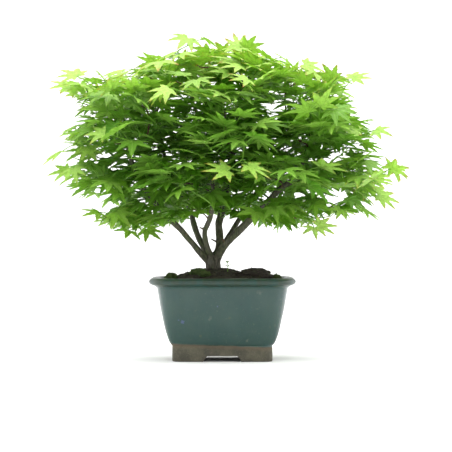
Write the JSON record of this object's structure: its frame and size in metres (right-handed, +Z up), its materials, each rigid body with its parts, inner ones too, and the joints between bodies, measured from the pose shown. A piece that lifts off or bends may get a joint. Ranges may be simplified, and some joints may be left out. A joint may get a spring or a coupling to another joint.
{
  "type": "potted maple bonsai tree",
  "caption": "Japanese maple bonsai with a broad leafy crown on forking limbs, rooted in mossy soil in a deep soft-cornered glazed pot with a rolled rim and a bare clay foot",
  "frame": {"origin": "on the surface that the pot stands on, under the middle of the whole plant, which is also the middle of the pot", "axes": "+Z up, the pot's long side and the crown's widest spread along X, the front of the pot faces -Y"},
  "size_m": [0.4998, 0.3895, 0.4642],
  "materials": {
    "celadon_glaze": "gloss",
    "screen_plastic": "matte",
    "aluminium_wire": "satin",
    "grit": "matte",
    "soil": "matte",
    "soil_clod": "matte",
    "moss": "matte",
    "seedling_green": "satin",
    "bark": "matte",
    "maple_leaf": "satin"
  },
  "bodies": {
    "root": {"pot": "celadon_glaze", "drain_screen_left": "screen_plastic", "drain_screen_right": "screen_plastic", "screen_wire_left": "aluminium_wire", "screen_wire_right": "aluminium_wire", "drainage_grit": "grit", "soil": "soil", "soil_clod": "soil_clod", "weed_seedling": "seedling_green", "trunk_and_branches": "bark", "moss_cushion_left": "moss", "moss_cushion_front": "moss", "moss_cushion_far_left": "moss", "moss_cushion_right": "moss", "moss_cushion_back": "moss", "leaf_spray_01": "maple_leaf", "leaf_spray_02": "maple_leaf", "leaf_spray_03": "maple_leaf", "leaf_spray_04": "maple_leaf", "leaf_spray_05": "maple_leaf", "leaf_spray_06": "maple_leaf", "leaf_spray_07": "maple_leaf", "leaf_spray_08": "maple_leaf", "leaf_spray_09": "maple_leaf", "leaf_spray_10": "maple_leaf", "leaf_spray_11": "maple_leaf", "leaf_spray_12": "maple_leaf", "leaf_spray_13": "maple_leaf", "leaf_spray_14": "maple_leaf", "leaf_spray_15": "maple_leaf", "leaf_spray_16": "maple_leaf", "leaf_spray_17": "maple_leaf", "leaf_spray_18": "maple_leaf", "leaf_spray_19": "maple_leaf", "leaf_spray_20": "maple_leaf", "leaf_spray_21": "maple_leaf", "leaf_spray_22": "maple_leaf", "leaf_spray_23": "maple_leaf", "leaf_spray_24": "maple_leaf", "leaf_spray_25": "maple_leaf", "leaf_spray_26": "maple_leaf", "leaf_spray_27": "maple_leaf", "leaf_spray_28": "maple_leaf", "leaf_spray_29": "maple_leaf", "leaf_spray_30": "maple_leaf", "leaf_spray_31": "maple_leaf", "leaf_spray_32": "maple_leaf", "leaf_spray_33": "maple_leaf", "leaf_spray_34": "maple_leaf", "leaf_spray_35": "maple_leaf", "leaf_spray_36": "maple_leaf", "leaf_spray_37": "maple_leaf", "leaf_spray_38": "maple_leaf"}
  },
  "joints": []
}
